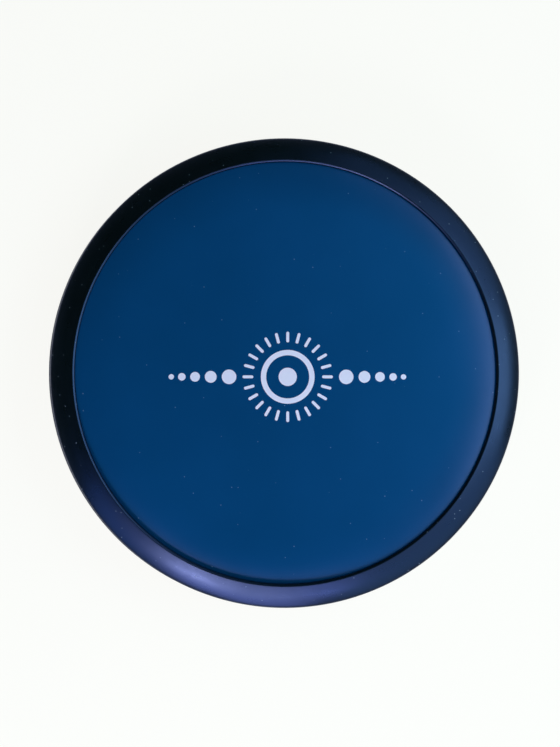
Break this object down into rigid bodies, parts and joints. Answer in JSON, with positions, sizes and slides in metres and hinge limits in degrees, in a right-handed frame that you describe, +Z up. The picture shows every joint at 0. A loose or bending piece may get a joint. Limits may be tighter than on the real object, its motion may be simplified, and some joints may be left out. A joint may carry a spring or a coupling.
{
  "type": "drum practice pad",
  "caption": "Round drum practice pad: black rubber tray with a thick rolled rim, blue gel playing face under a film skin, and a threaded stand mount underneath.",
  "frame": {"origin": "on the table at the pad's centre, under the middle of the playing face", "axes": "+Z up through the playing face, +X to the right and +Y away from the player when the print reads level"},
  "size_m": [0.178, 0.178, 0.0245],
  "materials": {
    "black_rubber": "satin moulded rubber, near black with a cool sheen",
    "board_wood": "sanded wood fibre board",
    "zinc_plated_steel": "bright zinc plating",
    "adhesive_film": "double-sided adhesive film",
    "blue_gel": "soft cast gel, blue",
    "blue_film": null
  },
  "bodies": {
    "root": {"rubber_tray": "black_rubber", "core_board": "board_wood", "tee_nut": "zinc_plated_steel", "stop_disc": "zinc_plated_steel", "gel_adhesive": "adhesive_film", "gel_pad": "blue_gel", "playing_skin": "blue_film"}
  },
  "joints": []
}
